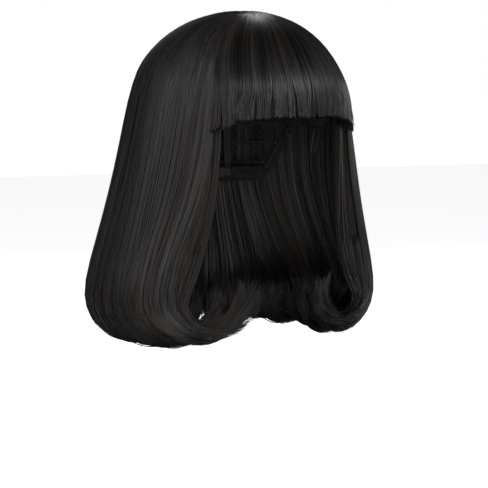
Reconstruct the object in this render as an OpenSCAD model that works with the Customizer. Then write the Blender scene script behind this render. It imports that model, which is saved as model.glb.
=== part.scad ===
// Costume wig: a wefted net cap with a full fringe and hair that curls under at the collar.
// Millimetres. +Z is up and the face looks towards -Y, so the wearer's left is +X.
// The origin is the middle of the head at the hat-band line.

/* [Cap] */
// Inside width of the cap at the hat-band line
cap_w = 156; // [152:1:160]
// Inside depth of the cap at the hat-band line
cap_d = 198; // [194:1:202]
// Height of the cap's crown above the hat-band line
cap_h = 88; // [86:1:90]
// Height of the cap's front edge above the hat-band line
front_edge_z = 35; // [32:1:38]
// Depth of the nape edge below the hat-band line
nape_drop = 65; // [63:1:68]
// Width of the edge bindings
binding_w = 8; // [6:0.5:9]
// Width of the rows of stitched weft
weft_w = 3; // [2:0.5:4]

/* [Hair] */
// Height of the top of the hair above the hat-band line
hair_top = 104; // [102:1:108]
// Width over the hair at the hat-band line
hair_w = 206; // [202:1:212]
// Depth over the hair at the hat-band line
hair_d = 246; // [242:1:252]
// Width over the curled ends
ends_w = 300; // [292:1:306]
// Drop from the hat-band line to the widest part of the curled ends
ends_drop = 160; // [154:1:166]
// Drop from the hat-band line to the lowest hair
hair_drop = 215; // [210:1:222]
// Height of the fringe's lower edge above the hat-band line at its middle
fringe_edge_z = 1; // [-4:1:4]
// How much lower the fringe is at the temples
fringe_arch = 14; // [8:1:16]
// Most that a curtain of hair swings out from the head, in degrees
swing = 30; // [20:1:32]

/* [Nape straps] */
// Width of the elastic straps
strap_w = 8; // [6:0.5:9]
// Thickness of the elastic straps
strap_t = 1.2; // [1:0.1:1.4]
// Number of loops for each hook
loop_count = 3; // [2:1:4]

/* [Hidden] */

hair_colour = [0.07, 0.06, 0.06];
net_colour = [0.16, 0.15, 0.15];
band_colour = [0.10, 0.10, 0.11];
elastic_colour = [0.20, 0.19, 0.19];
patch_colour = [0.32, 0.25, 0.21];
plastic_colour = [0.05, 0.05, 0.05];
steel_colour = [0.70, 0.71, 0.72];

// Cap: half sizes at the hat-band line, and how much it draws in at the nape
cap_a = cap_w / 2;
cap_b = cap_d / 2;
nape_draw_in = 0.18;
net_t = 0.8;
// Heights of the cap's edge by angle round the head, 0 at the face and 180 at the nape
ear_edge_z = -8;
edge_heights = [
  [0, front_edge_z], [36, front_edge_z - 1], [54, 16], [66, ear_edge_z], [102, ear_edge_z],
  [114, -40], [120, 5 - nape_drop], [132, -nape_drop], [180, -nape_drop]
];
angle_step = 6;
edge_gap = 0.5;
// Bindings stand this far inside and outside the net
binding_in = -0.4;
binding_out = 1.6;
// Wefts and the crown patch lie on the net
on_net = 1.5;
weft_out = 3.5;

// Hair: half sizes at the hat-band line
hair_a = hair_w / 2;
hair_b = hair_d / 2;
hair_centre_y = 5;
ends_centre_y = 17;
ends_b = hair_b + 3;
under_hair = 4.5;
// The curtains' inner wall, at the head and lower down
wall_a = cap_a + 6;
wall_b = cap_b + 6;
wall_foot_z = -60;
wall_run = 60;
wall_bow = 1.5;
bow_span = 100;
curtain_t = 24;
// Planes that part the fringe from the sides and the sides from the back
fringe_plane_y = -72;
back_plane_y = 75;
parting = 0.3;
// The roll of the curled ends: its lowest point, its tips, and where its hollow side starts
tip_z = 37 - hair_drop;
roll_share = 0.6;
tip_share = 0.7;
tip_in_x = 24;
tip_in_share = 0.35;
roll_inner_z = 80 - hair_drop;
front_rise = 8;
tip_rise = 12;
// How finely the curtains are drawn
outer_steps = 7;
inner_steps = 5;
side_slices = 7;
back_slices = 14;
// Lines that the hair hinges about, and the wedge that gives the swing room. The wedge is measured
// from how far the outer and inner walls stand outside the hinge at these two heights.
outer_reach_z = 25;
inner_reach_z = 35;
hinge_z = 40;
fringe_hinge_y = -88;
side_hinge_x = 76;
back_hinge_y = 94;
wedge = swing + 6;

// Nape straps: they slide round a circle about [0, nape_y]
nape_y = 18;
strap_r = 58;
strap_z = -55;
strap_clear = 0.5;
casing_wall = 1;
casing_from = 34;
casing_to = 64;
strap_from = 18;
strap_to = 48;
hook_from = 9.5;
hook_to = 17.6;
hook_t = 1.6;
ladder_from = 5;
ladder_to = 27;
ladder_r = strap_r + 2.6;
ladder_t = 0.8;
rail_w = 1.4;

// Ear tabs: angles round the head, and their drop below the binding
tab_top = [72, 88];
tab_foot = [76, 84];
tab_top_z = ear_edge_z - 0.6;
tab_foot_z = -38;
tab_t = 1.2;
stay_r = 0.7;

// Height of the cap's edge at an angle round the head, the same on both sides
function edge_z(angle) = lookup(abs(angle) > 180 ? 360 - abs(angle) : abs(angle), edge_heights);

// Share of the cap's full size at a height below the hat-band line
function nape_share(z) = 1 - nape_draw_in * pow(z / nape_drop, 2);

// Point on the cap at an angle and height, out from the inner face by a distance
function cap_point(angle, z, out) =
  let (
    rise = asin(max(0, min(1, z / cap_h))),
    share = z > 0 ? cos(rise) : nape_share(z)
  )
  z > 0
    ? [(cap_a + out) * share * sin(angle), -(cap_b + out) * share * cos(angle), (cap_h + out) * sin(rise)]
    : [(cap_a * share + out) * sin(angle), -(cap_b * share + out) * cos(angle), z];

// Outer outline of the hair at a height: half width, half depth and middle
function dome_share(z) = sqrt(max(0, 1 - pow(z / hair_top, 2)));
function low_share(z) = min(1, max(0, -z / ends_drop));
function flare(z) = 0.8 * low_share(z) + 0.2 * pow(low_share(z), 3);
function out_a(z) = z > 0 ? hair_a * dome_share(z) : hair_a + (ends_w / 2 - hair_a) * flare(z);
function out_b(z) = z > 0 ? hair_b * dome_share(z) : hair_b + (ends_b - hair_b) * low_share(z);
function out_y(z) = hair_centre_y + (ends_centre_y - hair_centre_y) * low_share(z);

// Inner wall of the curtains at a height
function wall_share(z) = min(1, max(0, (wall_foot_z - z) / wall_run));
function bow(z) = wall_bow * pow((hinge_z - z) / bow_span, 2);
function in_a(z) = wall_a + (out_a(z) - curtain_t - wall_a) * wall_share(z) - bow(z);
function in_b(z) = wall_b + (out_b(z) - curtain_t - wall_b) * wall_share(z) - bow(z);
function in_y(z) = out_y(z) * wall_share(z);

// Half chord of an ellipse at a distance from its middle
function chord(half, across, distance) = half * sqrt(max(0, 1 - pow(distance / across, 2)));

// Evenly spaced values from a to b, both included
function steps(a, b, n) = [for (i = [0 : n]) a + (b - a) * i / n];

// Triangles between loops of n points each
function skin(count, n) = [
  for (i = [0 : count - 2], j = [0 : n - 1])
    let (a = i * n + j, b = i * n + (j + 1) % n)
      for (t = [[a, b, b + n], [a, b + n, a + n]]) t
];

// Closed solid through a row of loops, with its two ends capped
module loft(loops) {
  n = len(loops[0]);
  last = (len(loops) - 1) * n;
  caps = [[for (j = [n - 1 : -1 : 0]) j], [for (j = [0 : n - 1]) last + j]];
  polyhedron([for (l = loops, p = l) p], concat(skin(len(loops), n), caps));
}

// Closed bowl between an outer and an inner set of rings, each from the crown to the rim
module bowl(outer, inner, outer_top, inner_top) {
  m = len(outer[0]);
  k = len(outer);
  function at(side, ring, j) = 2 + (side * k + ring) * m + j % m;
  walls = [
    for (side = [0, 1], ring = [0 : k - 2], j = [0 : m - 1])
      let (a = at(side, ring, j), b = at(side, ring, j + 1), c = at(side, ring + 1, j + 1),
           d = at(side, ring + 1, j))
        for (t = side == 0 ? [[a, b, c], [a, c, d]] : [[a, c, b], [a, d, c]]) t
  ];
  tops = [
    for (j = [0 : m - 1])
      for (t = [[0, at(0, 0, j + 1), at(0, 0, j)], [1, at(1, 0, j), at(1, 0, j + 1)]]) t
  ];
  rim = [
    for (j = [0 : m - 1])
      let (a = at(0, k - 1, j), b = at(0, k - 1, j + 1), c = at(1, k - 1, j + 1), d = at(1, k - 1, j))
        for (t = [[a, b, c], [a, c, d]]) t
  ];
  points = concat([outer_top, inner_top], [for (r = outer, p = r) p], [for (r = inner, p = r) p]);
  polyhedron(points, concat(walls, tops, rim));
}

// Band round the cap through a list of angles, between two distances from the net's inner face.
// heights holds [low, high] for each angle.
module cap_band(angles, heights, out_0, out_1) {
  loft([
    for (i = [0 : len(angles) - 1])
      let (angle = angles[i], low = heights[i][0], high = heights[i][1])
        [
          cap_point(angle, low, out_0), cap_point(angle, low, out_1),
          cap_point(angle, high, out_1), cap_point(angle, high, out_0)
        ]
  ]);
}

module binding(angles) {
  heights = [for (a = angles) [edge_z(a), edge_z(a) + binding_w]];
  cap_band(angles, heights, binding_in, binding_out);
}

// Row of weft at one height, from one angle to another
module weft_row(z, from, to) {
  angles = steps(from, to, ceil((to - from) / angle_step));
  color(hair_colour) cap_band(angles, [for (a = angles) [z - weft_w / 2, z + weft_w / 2]], on_net, weft_out);
}

// Ring of weft right round the crown, in two halves that meet at the sides
module weft_ring(z) {
  weft_row(z, 1, 179);
  weft_row(z, 181, 359);
}

// Elastic rib up the inside of the back, at an angle round the head
module back_rib(angle) {
  half_angle = 2.6;
  rib_in = -1.7;
  rib_out = -0.7;
  rib_foot_z = binding_w + 2 - nape_drop;
  rib_top_z = 62;
  color(elastic_colour) loft([
    for (z = steps(rib_foot_z, rib_top_z, 14))
      [
        cap_point(angle + half_angle, z, rib_in), cap_point(angle + half_angle, z, rib_out),
        cap_point(angle - half_angle, z, rib_out), cap_point(angle - half_angle, z, rib_in)
      ]
  ]);
}

// Block bent round the nape circle, on the wearer's left; angles count from straight back
module nape_block(r_0, r_1, from, to, z_0, z_1) {
  translate([0, nape_y, 0]) rotate([0, 0, 90 - to])
    rotate_extrude(angle = to - from, $fn = 120) translate([r_0, z_0]) square([r_1 - r_0, z_1 - z_0]);
}

module on_right() {
  mirror([1, 0, 0]) children();
}

module cap_net() {
  // Height of the first ring below the top point
  pole_z = cap_h * 0.985;
  angles = [0 : angle_step : 360 - angle_step];
  function ring(share, out) = [
    for (a = angles)
      let (rim = edge_z(a) + binding_w + edge_gap)
        cap_point(a, pole_z + (rim - pole_z) * share, out)
  ];
  shares = [for (s = steps(0, 1, 9)) pow(s, 1.5)];
  color(net_colour) bowl(
    [for (s = shares) ring(s, net_t)], [for (s = shares) ring(s, 0)],
    [0, 0, cap_h + net_t], [0, 0, cap_h]
  );
}

module crown_patch() {
  patch_t = 1;
  pole_z = cap_h * 0.99;
  patch_rim_z = cap_h * 0.93;
  function ring(share, out) = [
    for (a = [0 : 12 : 348]) cap_point(a, pole_z + (patch_rim_z - pole_z) * share, out)
  ];
  color(patch_colour) bowl(
    [for (s = [0, 0.5, 1]) ring(s, on_net + patch_t)], [for (s = [0, 0.5, 1]) ring(s, on_net)],
    [0, 0, cap_h + on_net + patch_t], [0, 0, cap_h + on_net]
  );
}

module front_band() {
  color(band_colour) binding([for (a = [-66 : angle_step : 66]) a]);
}

module ear_edge() {
  color(band_colour) binding(concat([66.6], [for (a = [72 : angle_step : 102]) a], [107.4]));
}

module nape_band() {
  color(band_colour) binding(concat([108], [for (a = [114 : angle_step : 246]) a], [252]));
}

module casing() {
  gap = strap_t / 2 + strap_clear;
  height = strap_w / 2 + strap_clear;
  color(band_colour) difference() {
    nape_block(strap_r - gap - casing_wall, strap_r + gap + casing_wall, casing_from, casing_to,
      strap_z - height - casing_wall, strap_z + height + casing_wall);
    nape_block(strap_r - gap, strap_r + gap, casing_from - 1, casing_to + 1,
      strap_z - height, strap_z + height);
  }
}

// Ladder of loops: a strip with a row of openings, and a bar between each pair
module loop_strip() {
  half = strap_w / 2 + rail_w;
  bar = 1.2;
  pitch = (ladder_to - ladder_from - bar) / loop_count;
  color(elastic_colour) difference() {
    nape_block(ladder_r, ladder_r + ladder_t, ladder_from, ladder_to, strap_z - half, strap_z + half);
    for (i = [0 : loop_count - 1])
      nape_block(ladder_r - 1, ladder_r + ladder_t + 1, ladder_from + bar + i * pitch,
        ladder_from + (i + 1) * pitch, strap_z - strap_w / 2, strap_z + strap_w / 2);
  }
}

module strap() {
  color(elastic_colour) nape_block(strap_r - strap_t / 2, strap_r + strap_t / 2, strap_from, strap_to,
    strap_z - strap_w / 2, strap_z + strap_w / 2);
}

// Flat hook: a plate with a slot for the strap, turned back on itself at the tip
module hook() {
  half = strap_w / 2 + 1;
  lip_gap = 0.8;
  lip_t = 0.8;
  inside = strap_r - hook_t / 2;
  // Angles that the lip, its turned end and the slot's two edges take up round the nape circle
  lip_span = 5;
  turn_span = 1.2;
  slot_near = 1.6;
  slot_far = 3;
  slot_margin = 1.2;
  color(plastic_colour) difference() {
    union() {
      nape_block(inside, inside + hook_t, hook_from, hook_to, strap_z - half, strap_z + half);
      nape_block(inside - lip_gap - lip_t, inside - lip_gap, hook_from, hook_from + lip_span,
        strap_z - half / 2, strap_z + half / 2);
      nape_block(inside - lip_gap - lip_t, inside + hook_t, hook_from, hook_from + turn_span,
        strap_z - half / 2, strap_z + half / 2);
    }
    nape_block(inside - 1, inside + hook_t + 1, hook_to - slot_far, hook_to - slot_near,
      strap_z - half + slot_margin, strap_z + half - slot_margin);
  }
}

module ear_tab() {
  color(band_colour) loft([
    for (s = steps(0, 1, 6))
      let (
        z = tab_top_z + (tab_foot_z - tab_top_z) * s,
        pull = pow(s, 2),
        low = tab_top[0] + (tab_foot[0] - tab_top[0]) * pull,
        high = tab_top[1] + (tab_foot[1] - tab_top[1]) * pull,
        across = steps(low, high, 3)
      )
        concat([for (a = across) cap_point(a, z, tab_t)], [for (i = [3 : -1 : 0]) cap_point(across[i], z, 0)])
  ]);
}

// Bendable wire stay along the inside of the ear tab
module ear_stay() {
  middle = (tab_top[0] + tab_top[1]) / 2;
  end_gap = 4;
  stay_out = -1.2;
  top = cap_point(middle, tab_top_z - end_gap, stay_out);
  foot = cap_point(middle, tab_foot_z + end_gap, stay_out);
  run = foot - top;
  color(steel_colour) translate(top)
    rotate([0, acos(run[2] / norm(run)), atan2(run[1], run[0])])
      cylinder(h = norm(run), r = stay_r, $fn = 24);
}

// Crown hair: a bowl over the cap that ends above the hinge lines
module hair_crown() {
  rim = hinge_z + parting;
  // The first ring lies this share of the way up to the top point
  pole_share = 0.98;
  angles = [0 : 9 : 351];
  function out_ring(z) = [
    for (a = angles) [out_a(z) * sin(a), out_y(z) - out_b(z) * cos(a), z]
  ];
  function in_ring(share) =
    let (
      top = cap_h * pole_share,
      z = top + (rim * cap_h / (cap_h + under_hair) - top) * share
    )
      [for (a = angles) cap_point(a, z, under_hair)];
  shares = [for (s = steps(0, 1, 7)) pow(s, 1.5)];
  color(hair_colour) bowl(
    [for (s = shares) out_ring(hair_top * pole_share + (rim - hair_top * pole_share) * s)],
    [for (s = shares) in_ring(s)],
    [0, hair_centre_y, hair_top], [0, 0, cap_h + under_hair]
  );
}

// Highest that a hinged piece of hair may reach, a distance outside its hinge
function top_z(outside) = hinge_z - parting - max(0, outside) * tan(wedge);

// Fringe at a share across, from -1 at one temple to 1 at the other
function fringe_outer(v, z) =
  let (x = v * chord(out_a(z), out_b(z), out_y(z) - fringe_plane_y + parting))
    [x, out_y(z) - chord(out_b(z), out_a(z), x), z];
function fringe_inner(v, z) =
  let (
    p = cap_point(90, z, under_hair)[0],
    q = cap_point(180, z, under_hair)[1],
    x = v * chord(p, q, parting - fringe_plane_y)
  )
    [x, -chord(q, p, x), z];

module hair_fringe() {
  inner_ceiling = hinge_z - 3;
  color(hair_colour) loft([
    for (v = steps(1, -1, 20))
      let (
        foot = fringe_edge_z - fringe_arch * pow(abs(v), 4),
        outer_top = top_z(fringe_hinge_y - fringe_outer(v, outer_reach_z)[1]),
        inner_top = top_z(fringe_hinge_y - fringe_inner(v, inner_reach_z)[1]),
        outer = [for (z = steps(outer_top, foot, 8)) fringe_outer(v, z)],
        inner = [for (z = steps(foot, min(inner_top, inner_ceiling), 6)) fringe_inner(v, z)]
      )
        concat(outer, inner)
  ]);
}

// Point part of the way from one point to another, at a height of its own
function between(p, q, w, z) = [p[0] + (q[0] - p[0]) * w, p[1] + (q[1] - p[1]) * w, z];

// Rolled ends in profile: out and under from the widest point to the lowest, and up to the tips
function roll(widest, tip, lowest_z) = concat(
  [
    for (a = [22.5 : 22.5 : 90])
      between(widest, tip, roll_share * (1 - cos(a)), widest[2] + (lowest_z - widest[2]) * sin(a))
  ],
  [
    for (a = [30 : 30 : 90])
      between(widest, tip, roll_share + (1 - roll_share) * sin(a),
        lowest_z + (tip[2] - lowest_z) * (1 - cos(a)))
  ],
  [between(widest, tip, tip_share, tip[2] + tip_rise)]
);

// The rolled ends ride up a little towards the face
function front_lift(y) = front_rise * pow(max(0, y / fringe_plane_y), 2);

// Side curtain on the wearer's left, in slices across at a distance y
function side_outer(y, z) = [chord(out_a(z), out_b(z), y - out_y(z)), y, z];
function side_inner(y, z) = [chord(in_a(z), in_b(z), y - in_y(z)), y, z];

module hair_side() {
  color(hair_colour) loft([
    for (y = steps(back_plane_y, fringe_plane_y, side_slices))
      let (
        outer_top = top_z(side_outer(y, outer_reach_z)[0] - side_hinge_x),
        inner_top = top_z(side_inner(y, inner_reach_z)[0] - side_hinge_x),
        widest = side_outer(y, -ends_drop),
        tip = [tip_in_x + tip_in_share * side_inner(y, roll_inner_z)[0], y, tip_z]
      )
        concat(
          [for (z = steps(outer_top, -ends_drop, outer_steps)) side_outer(y, z)],
          roll(widest, tip, front_lift(y) - hair_drop),
          [for (z = steps(roll_inner_z, inner_top, inner_steps)) side_inner(y, z)]
        )
  ]);
}

// Back curtain at a share across, from -1 to 1
function back_outer(v, z) =
  let (x = v * chord(out_a(z), out_b(z), back_plane_y + parting - out_y(z)))
    [x, out_y(z) + chord(out_b(z), out_a(z), x), z];
function back_inner(v, z) =
  let (x = v * chord(in_a(z), in_b(z), back_plane_y + parting - in_y(z)))
    [x, in_y(z) + chord(in_b(z), in_a(z), x), z];

module hair_back() {
  tip_half = 60;
  tip_y = 92;
  color(hair_colour) loft([
    for (v = steps(-1, 1, back_slices))
      let (
        outer_top = top_z(back_outer(v, outer_reach_z)[1] - back_hinge_y),
        inner_top = top_z(back_inner(v, inner_reach_z)[1] - back_hinge_y),
        widest = back_outer(v, -ends_drop),
        tip = [v * tip_half, tip_y + (back_plane_y + parting - tip_y) * pow(v, 4), tip_z]
      )
        concat(
          [for (z = steps(outer_top, -ends_drop, outer_steps)) back_outer(v, z)],
          roll(widest, tip, -hair_drop),
          [for (z = steps(roll_inner_z, inner_top, inner_steps)) back_inner(v, z)]
        )
  ]);
}

cap_net();
crown_patch();
front_band();
ear_edge();  // ear_edge_left
on_right() ear_edge();  // ear_edge_right
nape_band();
back_rib(150);  // back_rib_left
back_rib(180);  // back_rib_centre
back_rib(210);  // back_rib_right
weft_ring(62);  // weft_crown_1
weft_ring(74);  // weft_crown_2
weft_row(46, -58, 58);  // weft_fringe_1
weft_row(54, -66, 66);  // weft_fringe_2
weft_row(20, 58, 96);  // weft_side_left_1
weft_row(34, 64, 96);  // weft_side_left_2
on_right() weft_row(20, 58, 96);  // weft_side_right_1
on_right() weft_row(34, 64, 96);  // weft_side_right_2
weft_row(-46, 122, 238);  // weft_back_1
weft_row(-26, 116, 244);  // weft_back_2
weft_row(-6, 110, 250);  // weft_back_3
weft_row(14, 104, 256);  // weft_back_4
weft_row(34, 102, 258);  // weft_back_5
casing();  // casing_left
on_right() casing();  // casing_right
loop_strip();  // loop_strip_left
on_right() loop_strip();  // loop_strip_right
strap();  // strap_left
on_right() strap();  // strap_right
hook();  // hook_left
on_right() hook();  // hook_right
ear_tab();  // ear_tab_left
on_right() ear_tab();  // ear_tab_right
ear_stay();  // ear_stay_left
on_right() ear_stay();  // ear_stay_right
hair_crown();
hair_fringe();
hair_side();  // hair_side_left
on_right() hair_side();  // hair_side_right
hair_back();
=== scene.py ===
"""Looks for the costume wig: strands of glossy dark hair on a wefted net cap."""
import math

import bmesh
import bpy
import numpy as np
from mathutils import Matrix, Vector


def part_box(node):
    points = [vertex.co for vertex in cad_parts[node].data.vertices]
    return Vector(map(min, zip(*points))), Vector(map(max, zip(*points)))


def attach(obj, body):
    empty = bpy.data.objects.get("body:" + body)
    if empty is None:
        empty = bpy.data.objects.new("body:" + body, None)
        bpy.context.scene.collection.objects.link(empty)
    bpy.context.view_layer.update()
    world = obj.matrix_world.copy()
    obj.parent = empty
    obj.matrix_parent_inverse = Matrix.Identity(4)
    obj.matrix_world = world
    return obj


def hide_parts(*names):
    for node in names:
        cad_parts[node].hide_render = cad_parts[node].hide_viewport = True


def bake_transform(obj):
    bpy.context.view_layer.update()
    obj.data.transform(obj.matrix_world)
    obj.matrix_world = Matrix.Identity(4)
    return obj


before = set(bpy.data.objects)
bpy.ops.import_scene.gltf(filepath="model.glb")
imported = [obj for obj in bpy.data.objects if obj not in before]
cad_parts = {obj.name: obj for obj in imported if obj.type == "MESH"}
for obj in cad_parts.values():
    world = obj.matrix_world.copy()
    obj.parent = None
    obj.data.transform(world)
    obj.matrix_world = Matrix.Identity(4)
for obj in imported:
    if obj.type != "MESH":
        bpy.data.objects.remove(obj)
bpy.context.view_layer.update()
MM = 0.001

# ---------- sizes, from the frame, in millimetres


def node_box(name):
    low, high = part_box(name)
    return np.array(low) / MM, np.array(high) / MM


HAIR_TOP = node_box("hair_crown")[1][2]
ENDS_A = node_box("hair_side_left")[1][0]
BACK_Y = node_box("hair_back")[1][1]
FRONT_Y = node_box("hair_fringe")[0][1]
HAIR_FOOT = node_box("hair_back")[0][2]
FRINGE_FOOT = node_box("hair_fringe")[0][2]
SIDE_FRONT_Y = node_box("hair_side_left")[0][1]
PART_Y = node_box("hair_side_left")[1][1]
PARTING = node_box("hair_back")[0][1] - PART_Y
HINGE_Z = node_box("hair_crown")[0][2] - PARTING

# The same outline as the CAD solids: half sizes at the hat band, then how they grow to the curled ends
HAIR_A = 103.0
HAIR_MID_Y = 5.0
HAIR_B = HAIR_MID_Y - FRONT_Y
ENDS_MID_Y = 17.0
ENDS_B = BACK_Y - ENDS_MID_Y
ENDS_Z = -160.0
CAP_A, CAP_B, CAP_C = 78.0, 99.0, 88.0
NAPE_DROP, NAPE_TUCK = 65.0, 0.18  # how far the cap comes down at the nape, and how much it narrows there
WALL_OUT = 6.0  # from the cap to the inner wall of the hair
WALL_TOP, WALL_RUN = -60.0, 60.0  # below the top the inner wall leaves the cap, over this run
BOW, BOW_RUN = 1.5, 100.0  # the inner wall bows in by this much after this run
CURTAIN_T = 24.0
UNDER_HAIR = 4.5
TIP_RISE = 37.0
TIP_Z = HAIR_FOOT + TIP_RISE


def dome_share(z):
    return np.sqrt(np.clip(1 - (z / HAIR_TOP) ** 2, 0, 1))


def low_share(z):
    return np.clip(z / ENDS_Z, 0, 1)


def flare(z):
    q = low_share(z)
    return 0.8 * q + 0.2 * q**3


def out_a(z):
    return np.where(z > 0, HAIR_A * dome_share(z), HAIR_A + (ENDS_A - HAIR_A) * flare(z))


def out_b(z):
    return np.where(z > 0, HAIR_B * dome_share(z), HAIR_B + (ENDS_B - HAIR_B) * low_share(z))


def out_y(z):
    return HAIR_MID_Y + (ENDS_MID_Y - HAIR_MID_Y) * low_share(z)


def wall_share(z):
    return np.clip((WALL_TOP - z) / WALL_RUN, 0, 1)


def bow(z):
    return BOW * ((HINGE_Z - z) / BOW_RUN) ** 2


def in_a(z):
    top = CAP_A + WALL_OUT
    return top + (out_a(z) - CURTAIN_T - top) * wall_share(z) - bow(z)


def in_b(z):
    top = CAP_B + WALL_OUT
    return top + (out_b(z) - CURTAIN_T - top) * wall_share(z) - bow(z)


def in_y(z):
    return out_y(z) * wall_share(z)


def chord(half, across, distance):
    return half * np.sqrt(np.clip(1 - (distance / across) ** 2, 0, 1))


def cap_share(z):
    up = np.sqrt(np.clip(1 - (z / CAP_C) ** 2, 0, 1))
    down = 1 - NAPE_TUCK * (z / NAPE_DROP) ** 2
    return np.where(z > 0, up, down)


def smooth(t):
    t = np.clip(t, 0, 1)
    return t * t * (3 - 2 * t)


def mix(a, b, t):
    return a + (b - a) * t


# ---------- where hair hangs
# A column is a place round the head: a share across from -1 to 1 on the fringe and the back, and a
# distance y on a side. Depth runs from 0 on the outside of the hair to 1 on its inner wall.


def fringe_wall(column, z, depth):
    plane = -SIDE_FRONT_Y + PARTING
    x_out = column * chord(out_a(z), out_b(z), out_y(z) + plane)
    y_out = out_y(z) - chord(out_b(z), out_a(z), x_out)
    a = CAP_A * cap_share(z) + UNDER_HAIR
    b = CAP_B * cap_share(z) + UNDER_HAIR
    x_in = column * chord(a, b, plane)
    y_in = -chord(b, a, x_in)
    return mix(x_out, x_in, depth), mix(y_out, y_in, depth)


def side_wall(column, z, depth):
    x_out = chord(out_a(z), out_b(z), column - out_y(z))
    x_in = chord(in_a(z), in_b(z), column - in_y(z))
    return mix(x_out, x_in, depth), column + 0 * z


def back_wall(column, z, depth):
    plane = PART_Y + PARTING
    x_out = column * chord(out_a(z), out_b(z), plane - out_y(z))
    y_out = out_y(z) + chord(out_b(z), out_a(z), x_out)
    x_in = column * chord(in_a(z), in_b(z), plane - in_y(z))
    y_in = in_y(z) + chord(in_b(z), in_a(z), x_in)
    return mix(x_out, x_in, depth), mix(y_out, y_in, depth)


WALLS = {"fringe": fringe_wall, "side": side_wall, "back": back_wall}
PANEL_LENGTH = {"fringe": 165.0, "side": PART_Y - SIDE_FRONT_Y, "back": 200.0}
WHORL = np.array([0.0, -6.0])
WHORL_TURN, WHORL_DIP, WHORL_REACH = 0.7, 2.5, 0.07  # twist in radians, depth, and width as a share
CROWN_T = 13.0
DOME_STOPS, HANG_STOPS, ROLL_STOPS = 9, 10, 15
FRINGE_LAST = 0.975  # the last stop but one of the fringe: a short last stretch keeps the blunt ends crisp

# The curled ends point at a line of tips: on a side at a share of the way out to the inner wall, and on
# the back along a shallow bow. The roll of a side lifts towards the face.
SIDE_TIP_X, SIDE_TIP_SHARE, SIDE_TIP_Z, SIDE_LIFT = 24.0, 0.35, -135.0, 8.0
BACK_TIP_A, BACK_TIP_Y = 60.0, 92.0
OUTER_SHARE, INNER_SHARE = 0.6, 0.4  # of the way across, before and after the lowest point of the roll
CURL_T, CURL_IN_A, CURL_IN_B, CURL_LEAST = 22.0, 10.0, 12.0, 6.0  # how much depth takes off the roll's radii


def column_at(kind, along):
    """Column at a distance in millimetres along a panel, from one end to the other."""
    if kind == "side":
        return PART_Y - along
    return 2 * along / PANEL_LENGTH[kind] - 1


def dome_path(kind, column, depth, start, hand):
    """Over the crown from the whorl to the hinge line. start is the share of the way that is left out."""
    qx, qy = WALLS[kind](column, HINGE_Z, depth)
    top = HAIR_TOP - CROWN_T * depth
    reach = np.sqrt(1 - (HINGE_Z / top) ** 2)
    t = np.linspace(0, 1, DOME_STOPS, endpoint=False)[None, :]
    angle = mix(start[:, None], 1.0, t) * np.arcsin(reach)
    s = np.sin(angle) / reach
    swirl = hand * WHORL_TURN * (1 - s) ** 3
    dx, dy = (qx - WHORL[0]) * s, (qy - WHORL[1]) * s
    x = WHORL[0] + dx * np.cos(swirl) - dy * np.sin(swirl)
    y = WHORL[1] + dx * np.sin(swirl) + dy * np.cos(swirl)
    z = top * np.cos(angle) - WHORL_DIP * np.exp(-((s / WHORL_REACH) ** 2))
    return np.stack([x, y, z], -1)


def roll_path(kind, column, depth, angle, size):
    """Curled ends, out and under, at an angle round the roll in radians."""
    wx, wy = WALLS[kind](column, ENDS_Z + 0 * column, 0 * depth)
    if kind == "side":
        tx = SIDE_TIP_X + SIDE_TIP_SHARE * side_wall(column, SIDE_TIP_Z + 0 * column, 1.0)[0]
        ty = column
        lift = SIDE_LIFT * np.clip(column / SIDE_FRONT_Y, 0, None) ** 2
    else:
        tx = BACK_TIP_A * column
        ty = BACK_TIP_Y + (PART_Y + PARTING - BACK_TIP_Y) * column**4
        lift = 0
    across = np.hypot(tx - wx, ty - wy)
    first = OUTER_SHARE * across * size
    a1 = first - CURTAIN_T * depth
    b1 = (ENDS_Z - HAIR_FOOT - lift) * size - CURL_T * depth
    a2 = np.maximum(INNER_SHARE * across * size - CURL_IN_A * depth, CURL_LEAST)
    b2 = np.maximum((TIP_Z - HAIR_FOOT) * size - CURL_IN_B * depth, CURL_LEAST)
    over = angle - math.pi / 2
    s = np.where(over < 0, first - a1 * np.cos(angle), first + a2 * np.sin(over))
    z = ENDS_Z - b1 * np.where(over < 0, np.sin(angle), 1) + np.where(over < 0, 0, b2 * (1 - np.cos(over)))
    return np.stack([mix(wx, tx, s / across), mix(wy, ty, s / across), z], -1)


def hair_paths(kind, columns, depths, start, turn, size, foot, hand=1):
    """Paths of many strands. columns and depths give a value for each strand and stop. hand is the way
    that the whorl turns, and -1 is for strands that are mirrored afterwards."""
    k = DOME_STOPS
    dome = dome_path(kind, columns[:, :1], depths[:, :k], start, hand)
    if kind == "fringe":
        t = np.linspace(0, 1, HANG_STOPS + 2)[None, :]
        t[:, -2] = FRINGE_LAST
        z = mix(HINGE_Z, foot[:, None], t)
        x, y = fringe_wall(columns[:, k:], z, depths[:, k:])
        return np.concatenate([dome, np.stack([x, y, z], -1)], 1)
    z = mix(HINGE_Z, ENDS_Z, np.linspace(0, 1, HANG_STOPS)[None, :]) + 0 * columns[:, :1]
    x, y = WALLS[kind](columns[:, k : k + HANG_STOPS], z, depths[:, k : k + HANG_STOPS])
    hang = np.stack([x, y, z], -1)
    angle = turn[:, None] * np.linspace(0, 1, ROLL_STOPS + 1)[None, 1:]
    k += HANG_STOPS
    ends = roll_path(kind, columns[:, k:], depths[:, k:], angle, size[:, None])
    return np.concatenate([dome, hang, ends], 1)


def stops_of(kind):
    return DOME_STOPS + (HANG_STOPS + 2 if kind == "fringe" else HANG_STOPS + ROLL_STOPS)


def settle(paths, passes):
    """Rounds the bends between one stretch and the next."""
    for _ in range(passes):
        paths[:, 1:-1] += 0.5 * ((paths[:, :-2] + paths[:, 2:]) / 2 - paths[:, 1:-1])
    return paths


# ---------- meshes


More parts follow.
